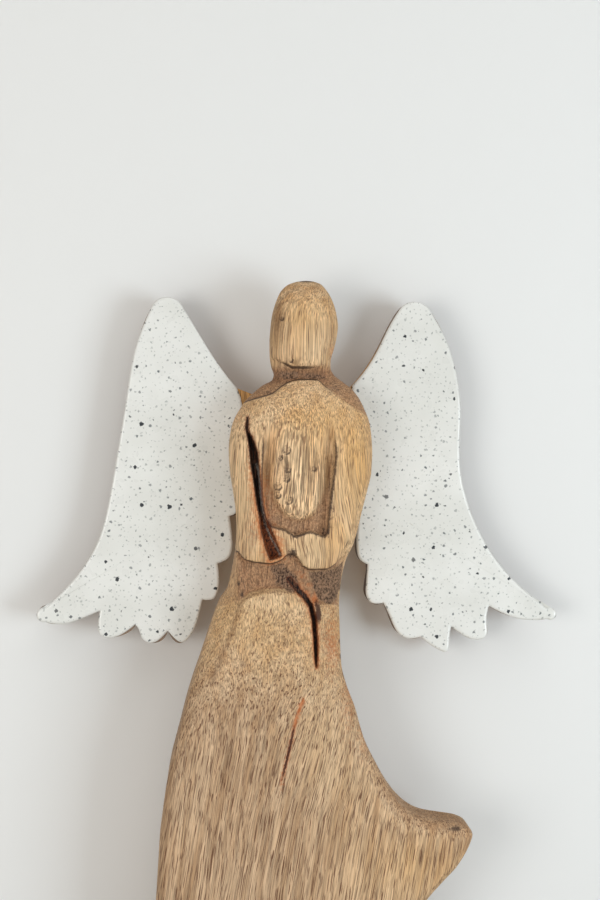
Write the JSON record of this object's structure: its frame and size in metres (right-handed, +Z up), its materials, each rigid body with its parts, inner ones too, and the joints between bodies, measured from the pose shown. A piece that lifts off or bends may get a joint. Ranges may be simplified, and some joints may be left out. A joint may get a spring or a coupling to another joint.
{
  "type": "carved wooden angel figurine",
  "caption": "Standing angel carved from one wooden block, with folded arms, a sweeping skirt and speckled white enamelled wings screwed to its back.",
  "frame": {"origin": "on the floor, under the middle of the bounding box", "axes": "+Z up along the figure, +Y from the figure's face towards its back, +X to the viewer's right"},
  "size_m": [0.233, 0.046, 0.3],
  "materials": {
    "carved_wood": "sanded, oiled mango wood with open pores and dark drying splits",
    "wing_wood": "bare sawn wood, darkened on its edges",
    "speckled_enamel": "gloss white resin enamel with grey and black speckles",
    "screw_steel": "zinc plated"
  },
  "bodies": {
    "root": {"figure_body": "carved_wood", "left_wing_core": "wing_wood", "left_wing_enamel": "speckled_enamel", "left_wing_upper_screw": "screw_steel", "left_wing_lower_screw": "screw_steel", "right_wing_core": "wing_wood", "right_wing_enamel": "speckled_enamel", "right_wing_upper_screw": "screw_steel", "right_wing_lower_screw": "screw_steel"}
  },
  "joints": []
}
